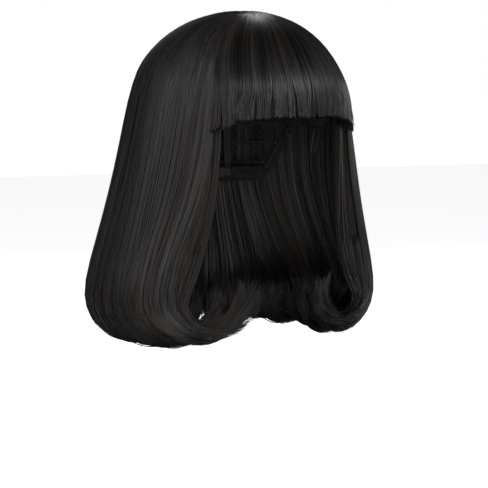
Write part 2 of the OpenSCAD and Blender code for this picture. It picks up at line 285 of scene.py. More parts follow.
def add_object(mesh):
    obj = bpy.data.objects.new(mesh.name, mesh)
    bpy.context.scene.collection.objects.link(obj)
    return obj


def run_length(line):
    """Distance along a line of points, from its start to each of them."""
    return np.concatenate([[0], np.cumsum(np.linalg.norm(np.diff(line, axis=0), axis=1))])


def ring_faces(rings, corners):
    """Quads between one ring of points and the next."""
    m = corners
    return [
        (i * m + j, i * m + (j + 1) % m, (i + 1) * m + (j + 1) % m, (i + 1) * m + j)
        for i in range(rings - 1)
        for j in range(m)
    ]


def fill_mesh(name, points, faces, uv=None):
    """A smooth mesh from points in millimetres and lists of corners."""
    mesh = bpy.data.meshes.new(name)
    mesh.from_pydata((np.asarray(points) * MM).tolist(), [], [list(map(int, f)) for f in faces])
    mesh.validate()
    mesh.shade_smooth()
    if uv is not None:
        layer = mesh.uv_layers.new(name="Weave")
        corner = np.empty(len(mesh.loops), np.int32)
        mesh.loops.foreach_get("vertex_index", corner)
        layer.data.foreach_set("uv", np.asarray(uv, np.float32)[corner].ravel())
    return mesh


def tube_mesh(name, paths, radius, tone):
    """Closed three-sided tubes, one along each path, as one mesh."""
    n, p = paths.shape[:2]
    tangent = np.gradient(paths, axis=1)
    tangent /= np.linalg.norm(tangent, axis=-1, keepdims=True) + 1e-9
    chord_way = paths[:, -1] - paths[:, 0]
    level = np.stack([-chord_way[:, 1], chord_way[:, 0], 0 * chord_way[:, 0]], -1) + 1e-6
    level = (level / np.linalg.norm(level, axis=-1, keepdims=True))[:, None, :]
    a = np.cross(tangent, level)
    a /= np.linalg.norm(a, axis=-1, keepdims=True) + 1e-9
    b = np.cross(tangent, a)
    turn = 2 * math.pi * np.arange(3) / 3
    ring = a[:, :, None, :] * np.cos(turn)[None, None, :, None]
    ring = ring + b[:, :, None, :] * np.sin(turn)[None, None, :, None]
    points = paths[:, :, None, :] + ring * radius[:, :, None, None]
    base = (np.arange(n) * p * 3)[:, None, None] + (np.arange(p - 1) * 3)[None, :, None]
    j, k = np.arange(3)[None, None, :], (np.arange(3) + 1)[None, None, :] % 3
    quads = np.stack([base + j, base + k, base + 3 + k, base + 3 + j], -1).reshape(-1, 4)
    first = (np.arange(n) * p * 3)[:, None]
    caps = np.concatenate([first + np.array([[2, 1, 0]]), first + (p - 1) * 3 + np.array([[0, 1, 2]])])
    corners = np.concatenate([quads.ravel(), caps.ravel()]).astype(np.int32)
    sizes = np.concatenate([np.full(len(quads), 4), np.full(len(caps), 3)])
    mesh = bpy.data.meshes.new(name)
    mesh.vertices.add(n * p * 3)
    mesh.vertices.foreach_set("co", (points * MM).astype(np.float32).ravel())
    mesh.loops.add(len(corners))
    mesh.loops.foreach_set("vertex_index", corners)
    mesh.polygons.add(len(sizes))
    starts = np.concatenate([[0], np.cumsum(sizes)[:-1]]).astype(np.int32)
    mesh.polygons.foreach_set("loop_start", starts)
    mesh.polygons.foreach_set("use_smooth", sizes == 4)
    mesh.update(calc_edges=True)
    mesh.validate()
    shade = mesh.attributes.new("tone", "FLOAT", "POINT")
    shade.data.foreach_set("value", np.repeat(tone, p * 3).astype(np.float32))
    return mesh


def loft_mesh(name, *solids):
    """Closed solids, each through rows of loops (rows, points, 3) with both ends capped, as one mesh."""
    points, faces, uvs, base = [], [], [], 0
    for loops in solids:
        loops = np.asarray(loops, float)
        n, m = loops.shape[:2]
        caps = [tuple(range(m - 1, -1, -1)), tuple((n - 1) * m + j for j in range(m))]
        faces += [tuple(base + v for v in face) for face in ring_faces(n, m) + caps]
        middle = loops[n // 2]
        around = run_length(np.concatenate([middle, middle[:1]]))[:-1]
        along = run_length(loops.mean(1))
        uvs.append(np.stack(np.broadcast_arrays(along[:, None], around[None, :]), -1).reshape(-1, 2))
        points.append(loops.reshape(-1, 3))
        base += n * m
    return fill_mesh(name, np.concatenate(points), faces, np.concatenate(uvs))


# ---------- materials


class Material:
    """A material round one principled shader."""

    def __init__(self, name, roughness, specular, sheen=0.0, metallic=0.0):
        self.data = bpy.data.materials.new(name)
        self.data.use_nodes = True
        self.shader = self.data.node_tree.nodes["Principled BSDF"]
        self.fill(self.shader, {"Roughness": roughness, "Specular IOR Level": specular})
        self.fill(self.shader, {"Sheen Weight": sheen, "Metallic": metallic})

    def fill(self, node, inputs):
        """Gives a node its inputs, each a constant or the output of another node."""
        for name, value in inputs.items():
            if isinstance(value, bpy.types.NodeSocket):
                self.data.node_tree.links.new(value, node.inputs[name])
            else:
                node.inputs[name].default_value = value
        return node

    def add(self, kind, inputs):
        return self.fill(self.data.node_tree.nodes.new("ShaderNode" + kind), inputs)

    def maths(self, kind, a, b):
        node = self.add("Math", {0: a, 1: b})
        node.operation = kind
        return node.outputs[0]

    def weighed(self, *terms):
        """Sum of (level, weight) terms."""
        total = self.maths("MULTIPLY", *terms[0])
        for term in terms[1:]:
            total = self.maths("ADD", total, self.maths("MULTIPLY", *term))
        return total

    def noise(self, scale, detail=3.0, stretch=None):
        """Level from noise over the object. A small stretch draws it out along that axis."""
        coords = self.add("TexCoord", {}).outputs["Object"]
        if stretch:
            coords = self.add("Mapping", {"Vector": coords, "Scale": stretch}).outputs["Vector"]
        return self.add("TexNoise", {"Vector": coords, "Scale": scale, "Detail": detail}).outputs["Fac"]

    def colour(self, level, stops):
        """Base colour from a level, through stops of (level, colour)."""
        node = self.add("ValToRGB", {"Fac": level})
        while len(node.color_ramp.elements) < len(stops):
            node.color_ramp.elements.new(0.5)
        for element, (at, colour) in zip(node.color_ramp.elements, stops):
            element.position = at
            element.color = (*colour, 1)
        self.fill(self.shader, {"Base Color": node.outputs["Color"]})

    def rough(self, level, low, high):
        """Roughness between two values from a level."""
        node = self.add("MapRange", {"Value": level, "To Min": low, "To Max": high})
        self.fill(self.shader, {"Roughness": node.outputs["Result"]})

    def bump(self, height, strength, distance):
        node = self.add("Bump", {"Height": height, "Strength": strength, "Distance": distance})
        self.fill(self.shader, {"Normal": node.outputs["Normal"]})


def hair_material():
    mat = Material("hair_fibre", 0.34, 0.42)
    tone = mat.add("Attribute", {})
    tone.attribute_name = "tone"
    patches, fine = mat.noise(14, 2.0, (1, 1, 0.45)), mat.noise(90, 2.0, (1, 1, 0.2))
    mixed = mat.weighed((tone.outputs["Fac"], 0.7), (patches, 0.35), (fine, 0.15))
    stops = [
        (0.25, (0.0014, 0.0014, 0.0017)), (0.5, (0.0032, 0.0028, 0.0027)),
        (0.75, (0.012, 0.0085, 0.0066)), (1.0, (0.032, 0.022, 0.016)),
    ]
    mat.colour(mixed, stops)
    mat.rough(mixed, 0.15, 0.5)
    return mat.data


def core_material():
    """The shaded fibres packed inside the hair."""
    mat = Material("hair_inside", 0.7, 0.15)
    streaks = mat.noise(260, 3.0, (1, 1, 0.03))
    mat.colour(streaks, [(0.3, (0.0015, 0.0015, 0.0016)), (0.7, (0.008, 0.007, 0.0065))])
    mat.bump(streaks, 0.6, 0.001)
    return mat.data


def cloth_material(name, dark, light, pitch, ribbed=False, sheen=0.3):
    """Cloth with threads both ways at a pitch in millimetres, or with ribs along its length."""
    mat = Material(name, 0.85, 0.25, sheen)
    coords = mat.add("UVMap", {})
    coords.uv_map = "Weave"
    waves = []
    for way in ("X", "Y"):
        inputs = {"Vector": coords.outputs["UV"], "Scale": 0.31 / pitch, "Distortion": 0.6, "Detail": 1.0}
        wave = mat.add("TexWave", inputs)
        wave.bands_direction = way
        waves.append(wave.outputs["Fac"])
    woven = waves[1] if ribbed else mat.maths("MULTIPLY", *waves)
    level = mat.weighed((woven, 0.65), (mat.noise(120, 4.0), 0.45))
    mat.colour(level, [(0.15, dark), (0.95, light)])
    mat.bump(level, 0.7, 0.0003)
    return mat.data


def thread_material(name, colour):
    mat = Material(name, 0.55, 0.4, sheen=0.2)
    twist = mat.noise(900, 2.0)
    mat.colour(twist, [(0.3, tuple(c * 0.45 for c in colour)), (0.75, colour)])
    mat.bump(twist, 0.4, 0.0002)
    return mat.data


def plastic_material():
    mat = Material("moulded_plastic", 0.3, 0.5)
    worn = mat.noise(60, 3.0)
    mat.colour(worn, [(0.3, (0.006, 0.006, 0.007)), (0.8, (0.02, 0.02, 0.022))])
    mat.rough(worn, 0.22, 0.48)
    mat.bump(mat.noise(700, 4.0), 0.15, 0.0001)
    return mat.data


def steel_material():
    mat = Material("stay_wire", 0.35, 0.5, metallic=0.6)
    drawn = mat.noise(1500, 2.0, (1, 1, 0.05))
    mat.colour(drawn, [(0.3, (0.03, 0.03, 0.032)), (0.75, (0.075, 0.075, 0.078))])
    mat.rough(drawn, 0.25, 0.5)
    return mat.data


HAIR = hair_material()
CORE = core_material()
NET = thread_material("net_yarn", (0.045, 0.042, 0.04))
THREAD = thread_material("sewing_thread", (0.12, 0.115, 0.11))
WEFT = cloth_material("weft_tape", (0.006, 0.006, 0.006), (0.04, 0.037, 0.035), 0.7)
PATCH = cloth_material("crown_lace", (0.02, 0.016, 0.014), (0.13, 0.1, 0.085), 0.8)
BAND = cloth_material("binding_cloth", (0.006, 0.006, 0.006), (0.034, 0.032, 0.031), 0.6, sheen=0.1)
ELASTIC = cloth_material("ribbed_elastic", (0.01, 0.01, 0.0105), (0.06, 0.057, 0.056), 1.0, True, 0.1)
PLASTIC = plastic_material()
STEEL = steel_material()

# ---------- hair


def lock_edges(rng, length, low, high):
    """Edges of hair locks of uneven width along a panel."""
    edges = [0.0]
    while edges[-1] < length:
        edges.append(edges[-1] + rng.uniform(low, high))
    return np.array(edges) * length / edges[-1]


OVERLAP = 6.0  # how far strands cross the parting between panels
EDGE_TAPER = 16.0  # width of the thin front edge of a side
FULL_TURN = 2.95  # the roll at the curled ends, in radians
FRINGE_ARCH = 14.0
SWEEP_BACK, SWEEP_FORWARD = 15.0, 16.0
TUFTING = 0.8  # how far the curled ends by the face gather into tufts
LOOSE_SHARE = 0.04  # of the strands, which leave their locks
LOOSE_PULL = 0.05
LOCK_LEAN, TRESS_LEAN = 4.0, 1.6  # spread of the sideways lean, of a broad lock and a fine one
WAVE, LOOSE_WAVE = 0.55, 2.6
FLUTTER, LOOSE_FLUTTER = 0.012, 0.1  # waves in depth
FINE_LOCK = (3.5, 8)
ROOTS_UNDER = (0.17, 0.11, 0.06, 0.02)  # added depth at the first stops: roots come up from below
CUT_RISE = 6.0  # the fringe's cut rises inwards, so only the outer tips show
STRAND_R, LOOSE_R = (0.36, 0.5), 0.6
SETTLING = 3  # passes that round the bends of a path

# How each panel is dressed. lock: bounds of a broad lock's width. pull, fine_pull: how far strands draw in
# to the middle of their lock. lean, groove: how far locks lean, and how deep the lines between them are.
# tip: a strand's width at its end, as a share. core: depth of the packed fibres under the strands.
HANGING = {"lock": (12, 26), "pull": 0.22, "fine_pull": 1, "lean": 1, "groove": 1, "tip": 0.3, "core": 0.3}
FRINGE = {
    "lock": (8, 18), "pull": 0.05, "fine_pull": 0.3, "lean": 0.35, "groove": 0.25, "tip": 0.85, "core": 0.17,
}
DRESS = {"fringe": FRINGE, "side": HANGING, "back": HANGING}


def fringe_edge(share):
    """Height of the fringe's lower edge, from its middle at 0 to the temples at 1."""
    return FRINGE_FOOT + FRINGE_ARCH * (1 - share**4)


def front_taper(along, length):
    """How far a place on a side lies into the taper of the curtain's front edge, from 0 to 1."""
    return np.clip((along - (length - EDGE_TAPER)) / EDGE_TAPER, 0, 1) ** 2


def panel_ramp(stops):
    """0 over the crown and 1 on the hanging panel, for each stop of a path."""
    crown, hanging = np.zeros(DOME_STOPS - 2), np.ones(stops - DOME_STOPS - 4)
    return np.concatenate([crown, smooth(np.linspace(0, 1, 6)), hanging])


def drawn_in(columns, panel):
    """A side's strands run out from the whorl over the crown, and turn square on below it."""
    return HAIR_MID_Y + (columns - HAIR_MID_Y) * mix(float(dome_share(HINGE_Z)), 1.0, panel)


def near_end(along, length, run):
    """0 over most of a panel, rising to 1 over a run before its far end."""
    return smooth((along - (length - run)) / run)


def side_sweep(along, length, turned=1.0):
    """The front edge draws back as it widens, then the curled ends sweep forward as they turn under."""
    near_face = near_end(along, length, 70)[:, None]
    hang = np.linspace(HINGE_Z, ENDS_Z, HANG_STOPS)
    back = np.concatenate([np.zeros(DOME_STOPS), smooth((-40 - hang) / 110), np.ones(ROLL_STOPS)])
    roll = np.concatenate([np.zeros(DOME_STOPS + HANG_STOPS), np.linspace(0, 1, ROLL_STOPS + 1)[1:]])
    roll = roll * np.reshape(turned, (-1, 1))
    forward = SWEEP_FORWARD * roll**1.3 * (0.35 + 0.65 * near_face)
    return -SWEEP_BACK * near_face * back * (1 - roll) + forward


def in_locks(edges, along):
    """Each strand's lock, the middle of that lock, and the strand's share of the way to the lock's edge."""
    i = np.clip(np.searchsorted(edges, along) - 1, 0, len(edges) - 2)
    half, centre = (edges[i + 1] - edges[i]) / 2, (edges[i + 1] + edges[i]) / 2
    return i, centre, (along - centre) / half


def strands(kind, rng, count, depth_range, start_range, broad, fine, reach, hand):
    """Paths, radii and tones of strands hanging from one panel, clumped in broad locks and in finer ones."""
    length, dress = PANEL_LENGTH[kind], DRESS[kind]
    n, p = count, stops_of(kind)
    side = kind == "side"
    spread = rng.uniform(*reach, n) if reach else rng.uniform(-OVERLAP, length + OVERLAP, n)
    along = length / 2 + (spread - length / 2) * length / (length + 2 * OVERLAP)
    lock, lock_mid, lock_share = in_locks(broad, along)
    tress, tress_mid, tress_share = in_locks(fine, along)
    loose = rng.random(n) < LOOSE_SHARE
    t = np.linspace(0, 1, p - DOME_STOPS)[None, :]
    on_crown = np.zeros((n, DOME_STOPS))
    grow = np.concatenate([on_crown, smooth(t * 1.3) ** 1.2 + np.zeros((n, 1))], 1)

    # places along the panel, drawn in towards the locks on the way down
    pull = np.where(loose, LOOSE_PULL, dress["pull"])[:, None]
    fine_pull = np.where(loose, LOOSE_PULL, rng.uniform(0.25, 0.6, n) * dress["fine_pull"])[:, None]
    at = lock_mid[:, None] + (tress_mid - lock_mid)[:, None] * (1 - pull * grow)
    at = at + (along - tress_mid)[:, None] * (1 - fine_pull * grow)
    lean = rng.normal(0, 1, len(broad))[lock] * LOCK_LEAN
    lean = (lean + rng.normal(0, 1, len(fine))[tress] * TRESS_LEAN)[:, None] * dress["lean"]
    phase = rng.uniform(0, 2 * math.pi, (4, n))[:3, :, None]
    wave = np.sin(2 * math.pi * t * 1.4 + phase[0]) + 0.5 * np.sin(2 * math.pi * t * 3.1 + phase[1])
    wave = np.concatenate([on_crown, wave], 1) * np.where(loose, LOOSE_WAVE, WAVE)[:, None] * grow
    panel = panel_ramp(p)[None, :]
    at = at + (spread - along)[:, None] * (1 - panel)
    at = at + lean * grow**2 + wave
    near_face = near_end(along, length, 60)[:, None] * side
    roll = np.concatenate([np.zeros(p - ROLL_STOPS), np.linspace(0, 1, ROLL_STOPS)])[None, :]
    tuft = TUFTING * near_face * smooth(roll * 1.2)
    if side:
        at = mix(at, lock_mid[:, None] + lean * grow**2, tuft) + side_sweep(along, length)
    at = np.clip(at, -OVERLAP, length + OVERLAP + 4)
    columns = drawn_in(column_at(kind, at), panel) if side else np.clip(column_at(kind, at), -1.08, 1.08)

    # depths, with grooves between the locks
    shell = np.mean(depth_range)
    way = 1 - 2 * (shell > 0.6)
    depth = rng.uniform(*depth_range, n)[:, None] + np.zeros((1, p))
    depth = mix(depth, rng.uniform(0.0, 0.5, len(broad))[lock][:, None], tuft)
    groove = 0.2 * np.abs(lock_share) ** 2.4 + 0.08 * np.abs(tress_share) ** 3 + 0.07 * lock_share
    groove = groove * dress["groove"]
    depth = depth + way * groove[:, None] * grow
    if side:
        depth = depth + (0.5 - depth) * 0.6 * front_taper(at, length) * panel
    flutter = np.sin(2 * math.pi * t * 1.9 + phase[2])
    flutter = np.concatenate([on_crown, flutter], 1) * grow
    depth = depth + flutter * np.where(loose, LOOSE_FLUTTER, FLUTTER)[:, None]
    depth = np.clip(depth - np.where(loose & (way > 0), 0.05, 0)[:, None] * grow, -0.2, 1.12)
    depth[:, : len(ROOTS_UNDER)] += ROOTS_UNDER

    # the curl, in radians round the roll and as a share of its size
    fine_turn = rng.uniform(-1, 1, len(fine))[tress]
    turn = rng.uniform(-0.28, 0.3, len(broad))[lock] * (1 + near_face[:, 0]) + fine_turn * 0.12
    turn = FULL_TURN + turn + rng.normal(0, 0.16, n) - np.abs(lock_share) * 0.2
    if reach:
        turn = turn + rng.uniform(0.1, 0.6, len(fine))[tress]
    elif shell > 0.3:
        turn = turn - np.abs(rng.normal(0, 0.4, n))
    size = 1 - 0.12 * rng.random(len(broad))[lock] + rng.normal(0, 0.015, n)
    size = size + 0.09 * near_face[:, 0] * rng.uniform(-1, 0.6, len(fine))[tress]

    # where the fringe is cut, and how thick and light each strand is
    foot = fringe_edge(0 * along if side else np.abs(column_at(kind, along)))
    foot = foot + rng.normal(0, 0.6, n) + rng.uniform(-0.9, 0.6, len(fine))[tress]
    foot = foot + 0.5 * np.abs(tress_share) + CUT_RISE * np.clip(depth[:, -1], 0, 1)
    start = rng.uniform(*start_range, n)
    paths = settle(hair_paths(kind, columns, depth, start, turn, size, foot, hand), SETTLING)
    taper = np.clip((1 - np.linspace(0, 1, p)) / 0.12, dress["tip"], 1)
    radius = rng.uniform(*STRAND_R, n)[:, None] * taper[None, :] * np.where(loose, LOOSE_R, 1)[:, None]
    tone = 0.36 * rng.random(n) + 0.36 * rng.random(len(fine))[tress] + 0.28 * rng.random(len(broad))[lock]
    return paths, radius, tone


def mirrored(paths):
    return paths * np.array([-1.0, 1, 1])


def bind_hair(obj, nodes=()):
    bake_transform(obj)
    if nodes:
        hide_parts(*nodes)


CORE_TOP, CORE_SIZE = 60, 0.84
CORE_REAR = 0.8  # depth of the core's inner face
CORE_TURN, CORE_SHY = 1.9, 1.7  # its roll in radians, and how much less of it there is by the face


def core_mesh(name, kind, columns, turn, flip):
    """Packed fibres between two depths, from above the hinge line to part of the way round the curl."""
    n, p = len(columns), stops_of(kind)
    spread = columns[:, None] + np.zeros((1, p))
    taper = 0 * columns
    turn = turn + 0 * columns
    foot = 0 * columns
    if kind == "side":
        length = PANEL_LENGTH[kind]
        along = PART_Y - columns
        taper = front_taper(along + 8, length)
        turn = turn - CORE_SHY * smooth((along - (length - 75)) / 50)
        spread = column_at(kind, along[:, None] + side_sweep(along, length, turn / FULL_TURN))
        spread = drawn_in(spread, panel_ramp(p)[None, :])
    elif kind == "fringe":
        foot = fringe_edge(np.abs(columns)) + 5
    half = []
    for depth in (DRESS[kind]["core"], CORE_REAR):
        top = HAIR_TOP - CROWN_T * depth
        start = np.arccos(CORE_TOP / top) / np.arccos(HINGE_Z / top) + 0 * columns
        depths = depth + (0.5 - depth) * 0.75 * taper[:, None] + np.zeros((n, p))
        paths = hair_paths(kind, spread, depths, start, turn, CORE_SIZE + 0 * columns, foot)
        half.append(settle(paths, SETTLING))
    loops = np.concatenate([half[0], half[1][:, ::-1]], 1)
    return loft_mesh(name, mirrored(loops)[::-1] if flip else loops)


# Layers of strands on each panel: name, count, bounds of the depth, and bounds of the share of the way from
# the whorl to the hinge line at which strands start
LAYERS = {
    "fringe": [
        ("outer", 1150, (0.0, 0.07), (0.02, 0.3)), ("under", 400, (0.07, 0.3), (0.5, 0.95)),
        ("inner", 350, (0.4, 0.95), (0.7, 0.95)),
    ],
    "side": [
        ("outer_1", 850, (0.0, 0.07), (0.02, 0.25)), ("outer_2", 700, (0.02, 0.16), (0.05, 0.5)),
        ("inner", 800, (0.8, 1.0), (0.93, 0.99)), ("middle", 500, (0.15, 0.85), (0.9, 0.99)),
        ("front", 420, (0.0, 1.0), (0.05, 0.3)),
    ],
    "back": [
        ("outer_1", 950, (0.0, 0.07), (0.02, 0.25)), ("outer_2", 750, (0.02, 0.16), (0.05, 0.5)),
        ("inner", 800, (0.8, 1.0), (0.93, 0.99)), ("middle", 400, (0.15, 0.85), (0.9, 0.99)),
    ],
}


def make_hair():
    rng = np.random.default_rng(7)
    density = 1.0
    side_core = np.linspace(PART_Y - 1, SIDE_FRONT_Y + 12, 15)
    # node, body, kind, hand, and the columns and roll of the core
    panels = [
        ("hair_fringe", "fringe", "fringe", 1, np.linspace(0.95, -0.95, 21), 0),
        ("hair_side_left", "side_left", "side", 1, side_core, CORE_TURN),
        ("hair_side_right", "side_right", "side", -1, side_core, CORE_TURN),
        ("hair_back", "back", "back", 1, np.linspace(-0.98, 0.98, 21), CORE_TURN),
    ]
    for node, body, kind, hand, columns, turn in panels:
        length = PANEL_LENGTH[kind]
        broad = lock_edges(rng, length, *DRESS[kind]["lock"])
        fine = lock_edges(rng, length, *FINE_LOCK)
        for layer, count, depth_range, start_range in LAYERS[kind]:
            reach = (length - 13, length + 2) if layer == "front" else None
            paths, radius, tone = strands(
                kind, rng, int(count * density), depth_range, start_range, broad, fine, reach, hand
            )
            if layer == "middle":  # these only show where the curl opens, so they start inside the core
                low = DOME_STOPS + HANG_STOPS - 3
                paths, radius = paths[:, low:], radius[:, low:]
            if hand < 0:
                paths = mirrored(paths)
            obj = add_object(tube_mesh(f"{node}_{layer}", paths, radius, tone))
            obj.data.materials.append(HAIR)
            bind_hair(obj)
        core = add_object(core_mesh(f"{node}_core", kind, columns, turn, hand < 0))
        core.data.materials.append(CORE)
        bind_hair(core, [node])


CROWN_IN, CROWN_DOWN = 3.0, 4.5  # from the outline of the hair to the crown's core


def make_crown_core():
    """Packed fibres over the top of the cap, under the strands."""
    angles = np.radians(np.arange(0, 360, 6.0))
    a, b, top = HAIR_A - CROWN_IN, HAIR_B - CROWN_IN, HAIR_TOP - CROWN_DOWN
    skin = 12  # rings of the outer skin
    rings = []
    for z in mix(58.0, top * 0.995, np.linspace(0, 1, skin) ** 0.6):
        s = np.sqrt(1 - (z / top) ** 2)
        mid = mix(WHORL[1], HAIR_MID_Y, s / dome_share(HINGE_Z))
        rings.append(np.stack([a * s * np.sin(angles), mid - b * s * np.cos(angles), 0 * angles + z], -1))
    for z in mix(CAP_C * 0.98, 52.0, np.linspace(0, 1, 8) ** 1.4):
        rings.append(cap_surface(np.degrees(angles), z + 0 * angles, UNDER_HAIR))
    n, m = len(rings), len(angles)
    faces = ring_faces(n, m)
    # the outer skin ends at its top and the inner one starts at its own, so each gets a lid
    del faces[(skin - 1) * m : skin * m]
    faces += [tuple((skin - 1) * m + j for j in range(m)), tuple(skin * m + j for j in range(m - 1, -1, -1))]
    last = (n - 1) * m
    faces += [(last + j, last + (j + 1) % m, (j + 1) % m, j) for j in range(m)]
    piece(fill_mesh("hair_crown_core", np.concatenate(rings), faces), CORE, "cap", "hair", ["hair_crown"])


# ---------- cap


def cap_surface(angle, z, out):
    """Points on the cap at angles in degrees from the face, at heights, out from the net's inner side."""
    angle, z, out = np.broadcast_arrays(np.radians(angle), np.asarray(z, float), np.asarray(out, float))
    rise = np.arcsin(np.clip(z / CAP_C, 0, 1))
    share = np.where(z > 0, np.cos(rise), 1 - NAPE_TUCK * (z / NAPE_DROP) ** 2)
    x, y = np.sin(angle), -np.cos(angle)
    up = np.stack([(CAP_A + out) * share * x, (CAP_B + out) * share * y, (CAP_C + out) * np.sin(rise)], -1)
    down = np.stack([(CAP_A * share + out) * x, (CAP_B * share + out) * y, z], -1)
    return np.where((z > 0)[..., None], up, down)


# The cap's lower edge: degrees from the face, and height
EDGE = [(0, 35), (36, 34), (54, 16), (66, -8), (102, -8), (114, -40), (120, -60), (132, -65), (180, -65)]


def edge_z(angle):
    angle = np.abs((np.asarray(angle, float) + 180) % 360 - 180)
    return np.interp(angle, [a for a, _ in EDGE], [z for _, z in EDGE])


def ribbon(width, thickness, count=28, ribs=0, piping=0.0):
    """Outline of a strip: across and out, with soft edges, raised ribs along it and a piped edge."""
    t = 2 * math.pi * np.arange(count) / count
    c, s = np.cos(t), np.sin(t)
    across = width / 2 * np.sign(c) * np.abs(c) ** 0.55
    out = thickness / 2 * np.sign(s) * np.abs(s) ** 0.5
    if ribs:
        out = out * (1 + 0.16 * np.cos(2 * math.pi * ribs * across / width))
    out = out * (1 + piping * np.exp(-(((across + width * 0.42) / (width * 0.09)) ** 2)))
    return np.stack([across, out], -1)


def unit(v):
    return v / (np.linalg.norm(v, axis=-1, keepdims=True) + 1e-12)


def sweep(centre, out, outline, scale=None):
    """Loops of an outline along a line of centres. out points off the surface at each centre."""
    centre, out = np.asarray(centre, float), unit(np.asarray(out, float))
    along = unit(np.gradient(centre, axis=0))
    across = unit(np.cross(out, along))
    out = np.cross(along, across)
    scale = np.ones((len(centre), 2)) if scale is None else np.asarray(scale, float)
    a = outline[None, :, :1] * scale[:, None, :1]
    b = outline[None, :, 1:] * scale[:, None, 1:]
    return centre[:, None, :] + across[:, None, :] * a + out[:, None, :] * b


def cap_line(angles, heights, out):
    """Centres on the cap and the way off it there."""
    centre = cap_surface(angles, heights, out)
    return centre, cap_surface(angles, heights, out + 1) - centre


def claim(obj, material, body, slot, nodes=()):
    obj.data.materials.append(material)
    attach(obj, body)
    if nodes:
        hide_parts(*nodes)
    return obj


def piece(mesh, *rest):
    return claim(add_object(mesh), *rest)


def stitch_paths(centre, out, across_at, length, pitch, zigzag=0.0):
    """Short stitches along a line, each an arc that dips into the cloth at both ends."""
    centre, out = np.asarray(centre, float), unit(np.asarray(out, float))
    along = unit(np.gradient(centre, axis=0))
    across = unit(np.cross(out, along))
    line = centre + across * across_at
    run = run_length(line)
    places = np.arange(pitch / 2, run[-1] - pitch / 2, pitch)

    def at(values, s):
        return np.stack([np.interp(s, run, values[:, i]) for i in range(3)], -1)

    t = np.linspace(-0.5, 0.5, 5)
    s = places[:, None] + t[None, :] * length
    lift = 0.24 * (1 - (2 * t) ** 2) - 0.05
    paths = at(line, s.ravel()).reshape(*s.shape, 3)
    ups = at(out, s.ravel()).reshape(*s.shape, 3)
    sides = at(across, s.ravel()).reshape(*s.shape, 3)
    slant = (np.where(np.arange(len(places)) % 2, 1, -1)[:, None] * t[None, :] * zigzag)[..., None]
    return paths + ups * lift[None, :, None] + sides * slant


def stitches(name, sets, body="cap", slot="band", radius=0.22):
    paths = np.concatenate(sets)
    mesh = tube_mesh(name, paths, np.full(paths.shape[:2], radius), np.full(len(paths), 0.5))
    return piece(mesh, THREAD, body, slot)


def make_bindings():
    spans = [
        ("front_band", -66.3, 66.3), ("ear_edge_left", 66.7, 107.3), ("ear_edge_right", -107.3, -66.7),
        ("nape_band", 107.8, 252.2),
    ]
    rows = []
    for name, first, last in spans:
        angles = np.arange(first, last, 1.0)
        heights = settle(edge_z(angles)[None, :], 6)[0]
        centre, out = cap_line(angles, heights + 4, 0.6)
        run = np.arange(len(angles))
        pucker = 1 + 0.06 * np.sin(run * 2.1) + 0.04 * np.sin(run * 0.9)
        loops = sweep(centre, out, ribbon(8, 2.0, 30, piping=0.25), np.stack([np.ones(len(run)), pucker], -1))
        piece(loft_mesh(name + "_cloth", loops), BAND, "cap", "band", [name])
        for way in (1, -1):
            rows.append(stitch_paths(centre + unit(out) * 0.92 * way, out * way, 2.4 * way, 2.2, 3.2))
    stitches("binding_stitches", rows)


NET_AROUND, NET_TOP, NET_PITCH, NET_YARN = 84, 84.0, 3.3, 0.62


def make_net():
    """Diamond net stretched over the cap, knotted where its yarns cross."""
    rise = [math.asin(NET_TOP / CAP_C)]
    while rise[-1] > 0:  # over the crown the cells narrow with the rings, and get lower with them
        rise.append(rise[-1] - 1.05 * 2 * math.pi / NET_AROUND * math.cos(rise[-1]) * 0.5 - 0.004)
    heights = [CAP_C * math.sin(r) for r in rise if r > 0]
    while heights[-1] > -NAPE_DROP:
        heights.append(heights[-1] - NET_PITCH)
    heights = np.array(heights)
    m = 2 * NET_AROUND
    columns = np.arange(m) * (360 / NET_AROUND) / 2
    grid = cap_surface(columns[None, :], heights[:, None], 0.4)
    keep = heights[:, None] > edge_z(columns)[None, :] + 3.0
    faces = []
    for i in range(1, len(heights) - 1):
        for j in range(i % 2, m, 2):
            ring = [(i - 1, j), (i, (j + 1) % m), (i + 1, j), (i, (j - 1) % m)]
            if all(keep[a, b] for a, b in ring):
                faces.append([a * m + b for a, b in ring])
    mesh = bpy.data.meshes.new("net_cells")
    mesh.from_pydata((grid.reshape(-1, 3) * MM).tolist(), [], faces)
    mesh.validate()
    obj = add_object(mesh)
    obj.name = "cap_net_yarn"
    bpy.context.view_layer.objects.active = obj
    wire = obj.modifiers.new("yarn", "WIREFRAME")
    wire.thickness = NET_YARN * MM
    wire.use_even_offset = False
    wire.use_replace = True
    with bpy.context.temp_override(object=obj, active_object=obj, selected_objects=[obj]):
        bpy.ops.object.modifier_apply(modifier="yarn")
    bm = bmesh.new()
    bm.from_mesh(obj.data)
    bmesh.ops.delete(bm, geom=[v for v in bm.verts if not v.link_faces], context="VERTS")
    bm.to_mesh(obj.data)
    bm.free()
    obj.data.shade_smooth()
    claim(obj, NET, "cap", "net", ["cap_net"])


# The crown lace, an oval over the top of the cap
PATCH_OUT, PATCH_IN = 2.45, 1.55  # its outer and inner faces, off the net


